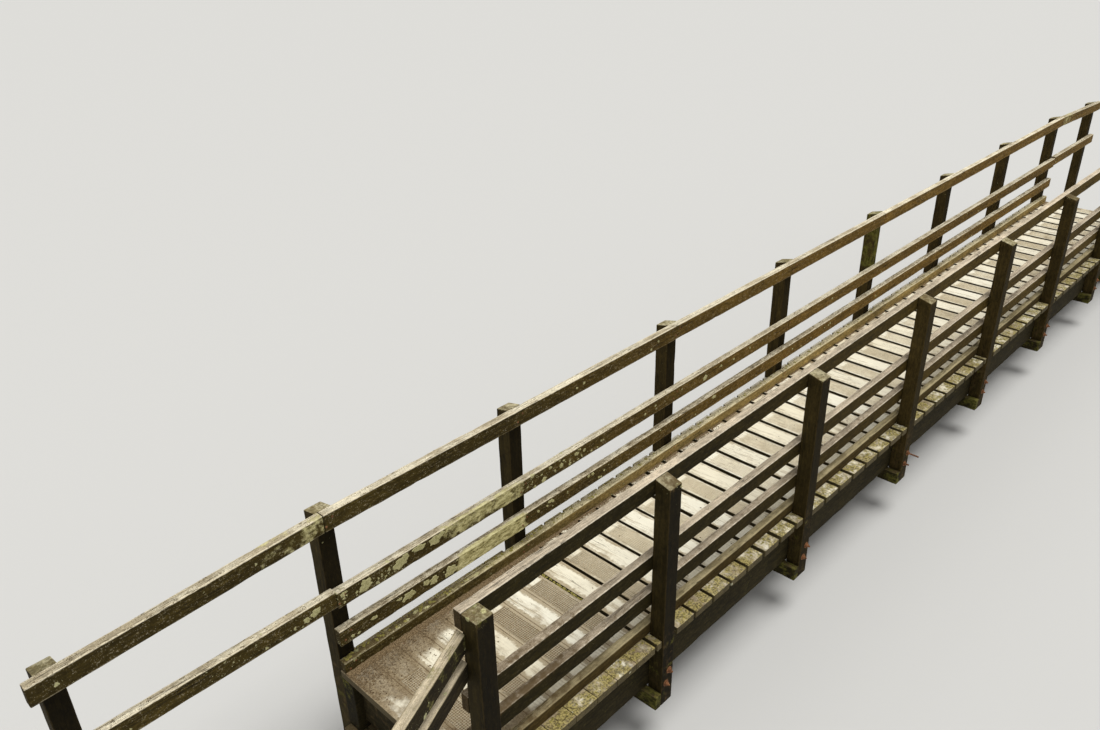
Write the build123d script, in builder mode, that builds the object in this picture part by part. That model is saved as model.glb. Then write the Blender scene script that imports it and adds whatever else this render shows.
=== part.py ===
from build123d import *
import math
import os

os.makedirs("parts", exist_ok=True)

# Timber beam footbridge over a small stream, with a post and rail parapet on
# both sides, boards laid across two main beams, and one bay of approach
# fence at each corner. X runs along the bridge, Y across it, +Z up.
# The origin lies on the ground, in the middle of the left bank seat's underside.
# All sizes are in millimetres.

# Parapet posts
post_side = 100.0
first_bay = 1310.0
bay = 1500.0
bay_count = 7
far_shift = -30.0          # the far posts stand a little nearer the left end
post_top_fall = 26.0       # the post's head is cut to shed water outwards
level_heads = ((0, -1),)   # pair and side of the posts whose heads are cut level

# Rails
clear_width = 950.0
rail_thick = 50.0
rail_deep = 105.0
handrail_top = 1050.0      # all rail tops are measured from the walking surface
upper_rail_top = 555.0
lower_rail_top = 305.0
kerb_high = 80.0
butt_gap = 3.0
far_joint_shift = 30.0     # approach rails meet the bridge rails this far off centre

# Deck boards
board_thick = 50.0
board_wide = 158.0
board_long = 1230.0
run_counts = (7, 6, 11, 12)             # boards in each run from the left end
run_gaps = (2.5, 21.2, 30.6, 34.0)      # the gap after each board of a run
usual_gap = 37.0           # beyond those runs the gap is as near to this as fits the deck's end
deck_start_out = 83.75     # first board edge beyond the first post line
deck_end_out = 46.55       # the last board ends this far past the last post line
notch_clearance = 2.0
narrowest_tongue = 28.0

# Main beams, the blocks between them and the bearers under them
beam_wide = 100.0
beam_deep = 350.0
spacer_thick = 75.0
spacer_deep = 225.0
bearer_thick = 50.0
bearer_deep = 100.0

# Bank seats of stacked sleepers
sleeper_high = 125.0
sleeper_wide = 250.0
sleeper_clearance = 5.0    # between the sleepers' ends and the end posts
sleeper_out = 46.25        # the sleepers reach this far past the boards' end
sleeper_courses = 3

# Approach fences at the four corners
approach_long = 1400.0
approach_post_back = 50.0  # rail end beyond the post's outer side
flare_angle = 23.0
flare_rail_top = 945.0
flare_second_top = 780.0
flare_inner_y = 490.0
straight_fall = 60.0       # the far approach handrail drops this much
straight_rail_top = 570.0

# Values that follow
deck_top = sleeper_high * sleeper_courses + beam_deep + board_thick
first_line = deck_start_out + sleeper_out - sleeper_wide / 2
rail_inner_y = clear_width / 2
rail_outer_y = rail_inner_y + rail_thick
post_outer_y = rail_outer_y + post_side
beam_mid_y = rail_outer_y - beam_wide / 2
sleeper_long = 2 * (rail_outer_y - sleeper_clearance)
post_count = bay_count + 1


def station(k):
    """Middle of post pair k along the bridge."""
    if k == 0:
        return first_line
    return first_line + first_bay + bay * (k - 1)


def post_middle(k, side):
    """Middle of one post; side is -1 on the near side and 1 on the far side."""
    if side > 0:
        return station(k) + far_shift
    return station(k)


# The boards' near edges, listed from the left end to the right end. Beyond the
# runs the boards are spread evenly up to the deck's end.
deck_start = first_line - deck_start_out
deck_end = station(bay_count) + deck_end_out
board_starts = [deck_start]
for boards, gap in zip(run_counts, run_gaps):
    for _ in range(boards):
        board_starts.append(board_starts[-1] + board_wide + gap)
stretch_left = deck_end - board_wide - board_starts[-1]
boards_left = round(stretch_left / (board_wide + usual_gap))
for _ in range(boards_left):
    board_starts.append(board_starts[-1] + stretch_left / boards_left)


def save(builder, name):
    builder.part.label = name
    export_step(builder.part, "parts/" + name + ".step")


# Main beams: two deep timbers that span from bank to bank. Their outer faces
# carry the posts, their top faces carry the boards.
beam_long = deck_end - deck_start
beam_middle = (deck_end + deck_start) / 2
beam_top = deck_top - board_thick

for beam_name, side in (("main_beam_near", -1), ("main_beam_far", 1)):
    with BuildPart() as main_beam:
        with BuildSketch(Plane.XY.offset(beam_top)):
            with Locations((beam_middle, side * beam_mid_y)):
                Rectangle(beam_long, beam_wide)
        extrude(amount=-beam_deep)
    save(main_beam, beam_name)

# Blocks between the beams, one at each post line, that keep them upright
spacer_wide = 2 * (beam_mid_y - beam_wide / 2)
spacer_middle = beam_top - beam_deep / 2

with BuildPart() as beam_spacers:
    with Locations([(station(k), 0, spacer_middle) for k in range(post_count)]):
        Box(spacer_thick, spacer_wide, spacer_deep)
save(beam_spacers, "beam_spacers")

# Cross bearers: a timber on edge under the beams at each inner pair of posts.
# It runs past the left faces of both posts, which are bolted to it, and ends
# flush with their outer faces. The far posts stand back, so it lies a little askew.
bearer_top = beam_top - beam_deep
post_foot = bearer_top - bearer_deep

with BuildPart() as cross_bearers:
    for k in range(1, bay_count):
        near_face = post_middle(k, -1) - post_side / 2
        far_face = post_middle(k, 1) - post_side / 2
        askew = (far_face - near_face) / (post_outer_y + rail_outer_y)
        far_x = near_face + askew * 2 * post_outer_y
        with BuildSketch(Plane.XY.offset(bearer_top)):
            with BuildLine():
                Polyline(
                    (near_face - bearer_thick, -post_outer_y),
                    (near_face, -post_outer_y),
                    (far_x, post_outer_y),
                    (far_x - bearer_thick, post_outer_y),
                    close=True,
                )
            make_face()
        extrude(amount=-bearer_deep)
save(cross_bearers, "cross_bearers")

# Bank seats: sleepers stacked under the beam ends, down to the ground
for seat_name, middle in (
    ("left", deck_start - sleeper_out + sleeper_wide / 2),
    ("right", deck_end + sleeper_out - sleeper_wide / 2),
):
    for course in range(sleeper_courses):
        with BuildPart() as sleeper:
            with BuildSketch(Plane.XY.offset(sleeper_high * course)):
                with Locations((middle, 0)):
                    Rectangle(sleeper_wide, sleeper_long)
            extrude(amount=sleeper_high)
        save(sleeper, "bank_sleeper_%s_%d" % (seat_name, course + 1))


# Deck boards: laid across the beams, cut out round each post. The first ones
# are laid tight, the others have a gap for the rain that grows along the bridge.
def notches(start):
    """Cut-outs of the board that starts here: side, low edge, high edge."""
    cuts = []
    end = start + board_wide
    for k in range(post_count):
        for side in (-1, 1):
            half = post_side / 2 + notch_clearance
            low = max(start, post_middle(k, side) - half)
            high = min(end, post_middle(k, side) + half)
            if high <= low:
                continue
            if low - start < narrowest_tongue:
                low = start
            if end - high < narrowest_tongue:
                high = end
            cuts.append((side, low, high))
    return cuts


notch_inner_y = rail_outer_y
notch_deep = board_long / 2 - notch_inner_y

for number in range(1, bay_count + 1):
    low_limit = station(number - 1) if number > 1 else deck_start - 1
    high_limit = station(number) if number < bay_count else deck_end
    with BuildPart() as deck_bay:
        for start in board_starts:
            if not low_limit <= start < high_limit:
                continue
            with BuildSketch(Plane.XY.offset(deck_top)):
                with Locations((start + board_wide / 2, 0)):
                    Rectangle(board_wide, board_long)
                for side, low, high in notches(start):
                    with Locations(((low + high) / 2, side * (notch_inner_y + notch_deep / 2))):
                        Rectangle(high - low, notch_deep, mode=Mode.SUBTRACT)
            extrude(amount=-board_thick)
    save(deck_bay, "deck_boards_bay_%d" % number)

# Parapet posts: one pair to each node. The two end pairs stand in the bank,
# the others end level with the bearers' undersides. The heads slope outwards,
# all but one.
post_head = deck_top + handrail_top

for k in range(post_count):
    at_end = k == 0 or k == post_count - 1
    foot = 0.0 if at_end else post_foot
    with BuildPart() as posts:
        for side in (-1, 1):
            fall = 0.0 if (k, side) in level_heads else post_top_fall
            with BuildSketch(Plane.YZ.offset(post_middle(k, side) - post_side / 2)):
                with BuildLine():
                    Polyline(
                        (side * rail_outer_y, foot),
                        (side * post_outer_y, foot),
                        (side * post_outer_y, post_head - fall),
                        (side * rail_outer_y, post_head),
                        close=True,
                    )
                make_face()
            extrude(amount=post_side)
    save(posts, "parapet_posts_%d" % (k + 1))


# Rails: sawn lengths on the inner faces of the posts, butted on a post
def rail_run(side, top, deep, cuts):
    """One level of rail along one side, in lengths between the given cuts."""
    with BuildPart() as run:
        for left, right in zip(cuts[:-1], cuts[1:]):
            low = left + butt_gap / 2 if left != cuts[0] else left
            high = right - butt_gap / 2 if right != cuts[-1] else right
            with BuildSketch(Plane.XY.offset(deck_top + top)):
                with Locations(((low + high) / 2, side * (rail_inner_y + rail_thick / 2))):
                    Rectangle(high - low, rail_thick)
            extrude(amount=-deep)
    return run


def cut_list(side, joints, left_extra, right_extra):
    left = post_middle(0, side) - left_extra
    right = post_middle(post_count - 1, side) + right_extra
    return [left] + [post_middle(k, side) for k in joints] + [right]


square_end = post_side / 2
joint_end = far_joint_shift - butt_gap / 2
rail_levels = (
    ("handrail", handrail_top, rail_deep, (4,)),
    ("upper_rail", upper_rail_top, rail_deep, (3,)),
    ("lower_rail", lower_rail_top, rail_deep, (4,)),
    ("kerb_rail", kerb_high, kerb_high, (3, 5)),
)

for rail_name, top, deep, joints in rail_levels:
    near_rail = rail_run(-1, top, deep, cut_list(-1, joints, square_end, square_end))
    save(near_rail, rail_name + "_near")
    meets_approach = rail_name in ("handrail", "upper_rail")
    reach = joint_end if meets_approach else square_end
    far_rail = rail_run(1, top, deep, cut_list(1, joints, reach, reach))
    save(far_rail, rail_name + "_far")

# Flared approach fences on the near side: two rails that butt against the end
# post and turn away from the path, and one post at their outer end.
flare = math.radians(flare_angle)
flare_outer_y = flare_inner_y + rail_thick / math.cos(flare)
corner_names = {-1: "left", 1: "right"}

for end in (-1, 1):
    along = Vector(end * math.cos(flare), -math.sin(flare), 0)
    outward = Vector(-end * math.sin(flare), -math.cos(flare), 0)
    face_x = post_middle(0 if end < 0 else post_count - 1, -1) + end * post_side / 2
    middle = Vector(face_x, -(flare_inner_y + flare_outer_y) / 2, 0)
    rail_end = middle + along * approach_long
    inner_end = rail_end - outward * (rail_thick / 2)
    outer_end = rail_end + outward * (rail_thick / 2)

    with BuildPart() as flare_rails:
        for top in (flare_rail_top, flare_second_top):
            with BuildSketch(Plane.XY.offset(deck_top + top)):
                with BuildLine():
                    Polyline(
                        (face_x, -flare_inner_y),
                        (inner_end.X, inner_end.Y),
                        (outer_end.X, outer_end.Y),
                        (face_x, -flare_outer_y),
                        close=True,
                    )
                make_face()
            extrude(amount=-rail_deep)
    save(flare_rails, "approach_rails_near_" + corner_names[end])

    post_back = approach_long - approach_post_back - post_side / 2
    post_axis = middle + along * post_back + outward * (rail_thick / 2)
    with BuildPart() as flare_post:
        with BuildSketch(Plane(origin=post_axis, x_dir=outward, z_dir=along * -end)):
            with BuildLine():
                Polyline(
                    (0, 0),
                    (post_side, 0),
                    (post_side, deck_top + flare_rail_top - post_top_fall),
                    (0, deck_top + flare_rail_top),
                    close=True,
                )
            make_face()
        extrude(amount=post_side / 2, both=True)
    save(flare_post, "approach_post_near_" + corner_names[end])

# Straight approach fences on the far side: the handrail and the upper rail
# carry on in line, the handrail falling gently, to one post at the outer end.
for end in (-1, 1):
    bridge_post = post_middle(0 if end < 0 else post_count - 1, 1)
    start_x = bridge_post + end * (far_joint_shift + butt_gap / 2)
    end_x = start_x + end * approach_long
    post_x = end_x - end * (approach_post_back + post_side / 2)
    with BuildPart() as straight_rails:
        for top, fall in ((handrail_top, straight_fall), (straight_rail_top, 0.0)):
            start_z = deck_top + top
            end_z = deck_top + top - fall
            with BuildSketch(Plane.XZ.offset(-rail_inner_y)):
                with BuildLine():
                    Polyline(
                        (start_x, start_z),
                        (end_x, end_z),
                        (end_x, end_z - rail_deep),
                        (start_x, start_z - rail_deep),
                        close=True,
                    )
                make_face()
            extrude(amount=-rail_thick)
    save(straight_rails, "approach_rails_far_" + corner_names[end])

    head = deck_top + handrail_top - straight_fall
    with BuildPart() as straight_post:
        with BuildSketch(Plane.YZ.offset(post_x - post_side / 2)):
            with BuildLine():
                Polyline(
                    (rail_outer_y, 0),
                    (post_outer_y, 0),
                    (post_outer_y, head - post_top_fall),
                    (rail_outer_y, head),
                    close=True,
                )
            make_face()
        extrude(amount=post_side)
    save(straight_post, "approach_post_far_" + corner_names[end])
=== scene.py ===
import math

import bpy
import numpy as np
from mathutils import Matrix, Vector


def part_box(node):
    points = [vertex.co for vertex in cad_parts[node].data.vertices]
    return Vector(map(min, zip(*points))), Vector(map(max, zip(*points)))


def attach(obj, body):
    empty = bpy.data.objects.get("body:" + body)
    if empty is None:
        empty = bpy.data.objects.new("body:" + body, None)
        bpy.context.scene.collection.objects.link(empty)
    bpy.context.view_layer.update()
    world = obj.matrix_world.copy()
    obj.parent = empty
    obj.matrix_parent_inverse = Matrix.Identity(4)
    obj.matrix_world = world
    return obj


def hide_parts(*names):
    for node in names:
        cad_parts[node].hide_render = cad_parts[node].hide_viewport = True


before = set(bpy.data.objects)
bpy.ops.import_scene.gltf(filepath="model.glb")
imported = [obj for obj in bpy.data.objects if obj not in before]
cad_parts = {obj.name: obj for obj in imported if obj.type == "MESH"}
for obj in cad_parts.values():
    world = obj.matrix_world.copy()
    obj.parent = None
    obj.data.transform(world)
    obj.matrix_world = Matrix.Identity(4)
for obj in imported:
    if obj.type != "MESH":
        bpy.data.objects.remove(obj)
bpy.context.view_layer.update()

# ---------------------------------------------------------------------------------------------
# Bank seats. Three softwood sleepers are stacked on each bank, and the beams rest on them.
# They are sawn, dark with age, split at their ends, and green where the bank keeps them damp.
to_right, to_far, upwards = (1, 0, 0), (0, 1, 0), (0, 0, 1)


def separate_solids(name):
    """The corner points of each solid of a node. Loose triangles are merged where their points agree to
    a hundredth of a millimetre, then every point takes the lowest number among its neighbours until
    nothing changes."""
    fine = 1e5
    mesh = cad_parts[name].data
    points = np.empty(len(mesh.vertices) * 3)
    mesh.vertices.foreach_get("co", points)
    index = np.empty(len(mesh.loops), dtype=int)
    mesh.loops.foreach_get("vertex_index", index)
    merged, same = np.unique(np.round(points.reshape(-1, 3) * fine), axis=0, return_inverse=True)
    triangles = same.ravel()[index].reshape(-1, 3)
    label = np.arange(len(merged))
    while True:
        lowered = label.copy()
        np.minimum.at(lowered, triangles, label[triangles].min(1)[:, None])
        if (lowered == label).all():
            return [merged[label == n] / fine for n in np.unique(label)]
        label = lowered


def sorted_corners(points, along, up):
    """The eight corners of a timber as [end][across][up], sorted along it, then upwards, then across."""
    along, up = np.array(along, float), np.array(up, float)
    across = np.cross(up, along)
    order = np.argsort(points @ along)
    corners = np.empty((2, 2, 2, 3))
    for end, four in enumerate((order[:4], order[4:])):
        four = four[np.argsort(points[four] @ up)]
        for high, two in enumerate((four[:2], four[2:])):
            corners[end, :, high] = points[two[np.argsort(points[two] @ across)]]
    return corners


beside_arris = 0.0012       # a point this close to each arris keeps the faces flat
end_rounding = 0.004        # ends are rounded over by no more than this


def section_rings(width, depth, radii, face_points):
    """A rounded rectangle at every station, counter-clockwise: at each corner a quarter circle of that
    station's arris radius with a close point on either side of it, and points spread over the faces."""
    turn = np.radians([180, 270, 0, 90])[:, None] + np.radians([0, 45, 90])
    corner = np.array([[0, 0], [1, 0], [1, 1], [0, 1]])
    inward = 1 - 2 * corner
    size = np.stack(np.broadcast_arrays(width, depth), -1).reshape(-1, 1, 1, 2)
    circle = np.stack([np.cos(turn), np.sin(turn)], -1)
    arc = corner[:, None] * size + radii[..., None, None] * (inward[:, None] + circle)
    blocks = []
    for c in range(4):
        start, stop = arc[:, c, -1:], arc[:, (c + 1) % 4, :1]
        near = beside_arris / np.linalg.norm(stop - start, axis=-1, keepdims=True)
        spread = (np.arange(face_points[c % 2]) + 1)[:, None] / (face_points[c % 2] + 1)
        blocks += [arc[:, c]] + [start + (stop - start) * share for share in (near, spread, 1 - near)]
    return np.concatenate(blocks, 1)


def slow_waves(s, rows, draw, longest=1.3, shortest=0.14):
    """Smooth random curves from 0 to 1 along a timber: four sine waves of random length and phase."""
    wave = draw.uniform(2 * np.pi / longest, 2 * np.pi / shortest, (rows, 4, 1))
    phase = draw.uniform(0, 2 * np.pi, (rows, 4, 1))
    return 0.5 + 0.125 * np.sin(wave * s + phase).sum(1)


def worn_arrises(s, length, arris, chip, draw):
    """Arris radius of the four edges at each station: a slow wave, and here and there a bruise that
    rises and falls as a bell curve."""
    count = 2 + int(length * 2.5)
    middle = draw.uniform(0, length, (4, count, 1))
    spread = draw.uniform(0.02, 0.07, (4, count, 1))
    size = chip * draw.uniform(0, 1, (4, count, 1)) ** 3
    bruises = (size * np.exp(-((s - middle) / spread) ** 2)).max(1)
    return (arris * (0.55 + 0.9 * slow_waves(s, 4, draw)) + bruises).T


def end_stations(length, arris, step):
    """Places of the rings along a timber, and how far each is drawn in: the ends are rounded over."""
    inner = np.linspace(arris, length - arris, max(4, int(length / step)))
    start = np.array([0, 0, 0.3 * arris])
    s = np.concatenate([start, inner, length - start[::-1]])
    drawn_in = np.zeros(len(s))
    drawn_in[:3] = arris + 0.002, arris, 0.286 * arris
    drawn_in[-3:] = drawn_in[2::-1]
    return s, drawn_in


def ringed_shells(points):
    """Closed shells from points given as [shell][ring][point]: quads between neighbouring rings, and one
    many-sided face at each end."""
    shells, rings, around = points.shape[:3]
    ring, step = np.meshgrid(np.arange(rings - 1), np.arange(around), indexing="ij")
    here = ring * around + step
    beside = ring * around + (step + 1) % around
    quads = np.stack([here, beside, beside + around, here + around], -1).reshape(-1, 4)
    ends = np.stack([np.arange(around)[::-1], (rings - 1) * around + np.arange(around)])
    first = (np.arange(shells) * rings * around)[:, None, None]
    return {"points": points.reshape(-1, 3),
            "faces": [(first + quads).reshape(-1, 4), (first + ends).reshape(-1, around)]}


def timber_shell(points, place, size, draw):
    """One shell with what the finish needs: place in the timber, the timber's size, and a random draw."""
    part = ringed_shells(points[None])
    like_points = part["points"].shape
    part["place"] = place.reshape(-1, 3)
    part["section"] = np.broadcast_to(size, like_points)
    part["draw"] = np.broadcast_to(draw.uniform(0, 1, 3), like_points)
    return part


def sawn_timber(corners, draw, arris=0.004, chip=0.008, wander=0.0012, step=0.045, face_points=(2, 3),
                lowered_end=0.0):
    """A sawn timber: its rounded section carried from end to end, each face standing back a little by a
    slow wave, and the whole laid between its eight corners by straight-line blending."""
    length = np.linalg.norm(corners[1].mean((0, 1)) - corners[0].mean((0, 1)))
    width = np.linalg.norm(corners[:, 1] - corners[:, 0], axis=-1).mean()
    depth = np.linalg.norm(corners[:, :, 1] - corners[:, :, 0], axis=-1).mean()
    s, drawn_in = end_stations(length, min(arris, end_rounding), step)
    ring = section_rings(width, depth, worn_arrises(s, length, arris, chip, draw), face_points)
    back = wander * slow_waves(s, 4, draw) + drawn_in
    a = back[0][:, None] + ring[..., 0] * (1 - (back[0] + back[1])[:, None] / width)
    b = back[2][:, None] + ring[..., 1] * (1 - (back[2] + back[3])[:, None] / depth)
    run = np.broadcast_to((s * (1 - lowered_end / length))[:, None], a.shape)
    points = corners[..., None, None, :]
    for share in (run / length, a / width, b / depth):
        points = points[0] * (1 - share[..., None]) + points[1] * share[..., None]
    return timber_shell(points, np.stack([run, a, b], -1), (length, width, depth), draw)


def joined_mesh(name, parts, finish, smooth=50.0):
    """One object from many shells: points in a row, face numbers shifted, all other arrays kept as
    attributes of the points."""
    points = np.concatenate([part["points"] for part in parts])
    shift = np.cumsum([0] + [len(part["points"]) for part in parts])
    faces = [f + first for part, first in zip(parts, shift) for f in part["faces"]]
    corner = np.concatenate([f.ravel() for f in faces])
    count = np.concatenate([np.full(len(f), f.shape[1]) for f in faces])
    mesh = bpy.data.meshes.new(name)
    mesh.vertices.add(len(points))
    mesh.vertices.foreach_set("co", points.ravel())
    mesh.loops.add(len(corner))
    mesh.loops.foreach_set("vertex_index", corner)
    mesh.polygons.add(len(count))
    mesh.polygons.foreach_set("loop_start", np.cumsum(count) - count)
    mesh.update(calc_edges=True)
    for key in parts[0]:
        if key not in ("points", "faces"):
            values = np.concatenate([part[key] for part in parts])
            mesh.attributes.new(key, "FLOAT_VECTOR", "POINT").data.foreach_set("vector", values.ravel())
    mesh.shade_smooth()
    mesh.set_sharp_from_angle(angle=math.radians(smooth))
    mesh.materials.append(finish)
    piece = bpy.data.objects.new(name, mesh)
    bpy.context.scene.collection.objects.link(piece)
    return piece


def stand_for(name, timbers, finish, growth):
    """The finished timbers of one node; growth gives lichen, green and dirt at each point."""
    for part in timbers:
        part["growth"] = growth(part["points"])
    piece = joined_mesh(name + "_sawn", timbers, finish)
    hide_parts(name)
    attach(piece, "root")


def dress(name, along, up, draw, finish, slot, growth, **shape):
    """A sawn surface for every timber of one node, whose timbers run along one way with one side up."""
    timbers = [sawn_timber(sorted_corners(solid, along, up), draw, **shape)
               for solid in separate_solids(name)]
    stand_for(name, timbers, finish, growth)


def soft_step(value, low, high):
    """0 below low, 1 above high, and an S-curve between."""
    t = np.clip((value - low) / (high - low), 0, 1)
    return t * t * (3 - 2 * t)


class Field:
    """A value that changes over a surface: a shader socket. Fields and numbers are added, subtracted,
    multiplied and divided by Math nodes in the field's own tree."""

    def __init__(self, socket):
        self.socket = socket

    def __add__(self, other):
        return calc("ADD", self, other)

    def __sub__(self, other):
        return calc("SUBTRACT", self, other)

    def __rsub__(self, other):
        return calc("SUBTRACT", other, self)

    def __mul__(self, other):
        return calc("MULTIPLY", self, other)

    def __truediv__(self, other):
        return calc("DIVIDE", self, other)


def node(tree, kind, inputs=(), **settings):
    """A shader node. Inputs are fields to join or values to set, in order or by name."""
    made = tree.nodes.new("ShaderNode" + kind)
    for key, value in settings.items():
        setattr(made, key, value)
    for key, value in inputs.items() if isinstance(inputs, dict) else enumerate(inputs):
        if isinstance(value, Field):
            tree.links.new(value.socket, made.inputs[key])
        else:
            made.inputs[key].default_value = value
    return made


def field(source, kind, inputs=(), output=0, **settings):
    """One output of a new shader node, in a tree or in the tree of another field."""
    tree = source.socket.id_data if isinstance(source, Field) else source
    return Field(node(tree, kind, inputs, **settings).outputs[output])


def calc(operation, *inputs):
    """The result of one Math node."""
    source = next(value for value in inputs if isinstance(value, Field))
    return field(source, "Math", inputs, operation=operation)


def vector(operation, *inputs, output=0):
    """The result of one Vector Math node."""
    return field(inputs[0], "VectorMath", inputs, output, operation=operation)


def axes(value):
    """The three numbers of a vector."""
    return [Field(socket) for socket in node(value.socket.id_data, "SeparateXYZ", (value,)).outputs]


def rise(value, low, high, to_low=0.0, to_high=1.0):
    """An S-curve from to_low to to_high while value goes from low to high."""
    return field(value, "MapRange", (value, low, high, to_low, to_high), interpolation_type="SMOOTHSTEP")


def linear(seen):
    """A colour read from 0 to 255 as seen, made linear for the shader."""
    seen = np.array(seen) / 255
    return (*np.where(seen <= 0.04045, seen / 12.92, ((seen + 0.055) / 1.055) ** 2.4), 1.0)


def blend(factor, *shades):
    """The first shade where the factor is 0 and the second where it is 1; each is a field or a colour."""
    first, second = [shade if isinstance(shade, Field) else linear(shade) for shade in shades]
    return field(factor, "Mix", {0: factor, 6: first, 7: second}, 2, data_type="RGBA")


def scaled(shade, level):
    """A shade made darker or lighter by a level."""
    shade = shade if isinstance(shade, Field) else linear(shade)[:3]
    return field(level, "VectorMath", {0: shade, "Scale": level}, operation="SCALE")


def clouds(place, scale, detail=3.0, roughness=0.55, bend=0.0):
    """Noise round a half, with so many clouds to the metre."""
    return field(place, "TexNoise", {"Vector": place, "Scale": scale, "Detail": detail,
                                     "Roughness": roughness, "Distortion": bend})


def stretched(place, scale):
    """A place with each of its three ways scaled, so that a pattern is drawn out along the others."""
    return vector("MULTIPLY", place, scale)


def own_place(place, drawn):
    """A place in the grain that no other timber has: the place, moved by the timber's random draw."""
    return vector("MULTIPLY_ADD", drawn, (23.0, 17.0, 19.0), place)


def effect(name, inputs, outputs):
    """A shader group with named inputs and outputs; returns its tree, its inputs and its output node."""
    tree = bpy.data.node_groups.new(name, "ShaderNodeTree")
    for title, kind in inputs.items():
        tree.interface.new_socket(title, in_out="INPUT", socket_type="NodeSocket" + kind)
    for title in outputs:
        tree.interface.new_socket(title, in_out="OUTPUT", socket_type="NodeSocketFloat")
    given = {socket.name: Field(socket) for socket in tree.nodes.new("NodeGroupInput").outputs}
    return tree, given, tree.nodes.new("NodeGroupOutput")


def close(end, *results):
    """Joins a group's results to its outputs, in their order."""
    for result, socket in zip(results, end.inputs):
        end.id_data.links.new(result.socket, socket)


def laid(tree, group, **inputs):
    """An effect placed in a material: its outputs by name."""
    return {socket.name: Field(socket) for socket in node(tree, "Group", inputs, node_tree=group).outputs}


# Sawn grain: fine fibres, broad bands and drying checks run along the timber, rings show at its ends
grain, given, end = effect("sawn_grain", {"Place": "Vector", "Draw": "Vector"},
                           ["Fibre", "Bands", "Checks", "Rings"])
shifted = own_place(given["Place"], given["Draw"])
fibre = clouds(stretched(shifted, (9.0, 420.0, 420.0)), 1.0, 3.0, 0.6)
bands = clouds(stretched(shifted, (1.4, 62.0, 62.0)), 1.0, 4.0, 0.6, 0.4)
split = clouds(stretched(shifted, (2.6, 85.0, 85.0)), 1.0, 2.0, 0.5)
split = rise(calc("ABSOLUTE", split - 0.5), 0.004, 0.02, 1.0, 0.0)
where = rise(clouds(stretched(shifted, (2.0, 11.0, 11.0)), 1.0), 0.5, 0.6)
heart = stretched(vector("ADD", given["Place"], (0.0, -0.02, 0.05)), (0.0, 1.0, 1.0))
radius = vector("LENGTH", heart, output="Value") + clouds(shifted, 14.0) * 0.012
close(end, fibre, bands, split * where, calc("SINE", radius * 1500.0) * 0.5 + 0.5)

# Worn arris: how near a point is to an edge of its timber, with a ragged border, and its end faces
arris, given, end = effect("worn_arris", {"Place": "Vector", "Section": "Vector", "Reach": "Float"},
                           ["Edge", "End face"])
inward = [calc("MINIMUM", here, size - here)
          for here, size in zip(axes(given["Place"]), axes(given["Section"]))]
ragged = clouds(given["Place"], 38.0, 4.0, 0.65) - 0.5
off_edge = calc("MAXIMUM", inward[1], inward[2]) / given["Reach"]
close(end, rise(ragged * 1.6 + off_edge, 0.35, 1.0, 1.0, 0.0), calc("LESS_THAN", inward[0], 0.0006))

# Growth: lichen as lobed spots of three sizes, green film and dirt as cloudy cover; an amount of 0
# gives none and an amount of 1 covers nearly all
spots, given, end = effect("growth_spots", {"Point": "Vector", "Amounts": "Vector"},
                           ["Lichen", "Lichen tone", "Green", "Dirt"])
point = given["Point"]
lichen, green, dirt = axes(given["Amounts"])
lobes = field(point, "TexNoise", {"Vector": point, "Scale": 70.0, "Detail": 2.0}, "Color")
lobed = vector("MULTIPLY_ADD", lobes, (0.022, 0.022, 0.022), point)
thick = lichen * rise(clouds(point, 3.2, 3.0, 0.6), 0.42, 0.62, 0.4, 1.4)
spot_sizes = []
for scale, share in ((24.0, 0.9), (75.0, 0.8), (180.0, 0.8)):
    cell = node(spots, "TexVoronoi", {"Vector": lobed, "Scale": scale}).outputs
    chance = axes(Field(cell["Color"]))[0]
    spot_sizes.append(rise(chance - (1.0 - thick * share) - Field(cell["Distance"]), -0.02, 0.06))
close(end, calc("MAXIMUM", calc("MAXIMUM", *spot_sizes[:2]), spot_sizes[2]), clouds(point, 160.0, 3.0, 0.6),
      rise(green * 0.6 + clouds(point, 13.0, 6.0, 0.72), 0.72, 0.9),
      rise(dirt * 0.6 + clouds(point, 21.0, 5.0, 0.66), 0.66, 0.94))


def new_finish(name, attributes=()):
    """A material with an empty tree, a point on the object, and the attributes that it reads."""
    material = bpy.data.materials.new(name)
    material.use_nodes = True
    tree = material.node_tree
    tree.nodes.clear()
    read = [field(tree, "Attribute", output="Vector", attribute_name=key) for key in attributes]
    return material, tree, field(tree, "TexCoord", output="Object"), read


def painted(tree, shade, rough, height, depth, strength, gloss, metal=0.0):
    """The shader of a finish: what changes over the surface is joined to it, and the rest is set on it."""
    bump = field(tree, "Bump", {"Strength": strength, "Distance": depth, "Height": height})
    paint = node(tree, "BsdfPrincipled", {"Base Color": shade, "Roughness": rough, "Normal": bump})
    paint.inputs["Metallic"].default_value = metal
    paint.inputs["Specular IOR Level"].default_value = gloss
    node(tree, "OutputMaterial", {"Surface": Field(paint.outputs[0])})


def bank_damp_and_painted_shade(away, colours):
    """One colour as it is, or of two colours the first near the left bank and the second further on.
    Near the bank the colour is darker by damp and by painted shade.
    """
    return blend(away, *colours) if isinstance(colours[0], tuple) else colours


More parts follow.
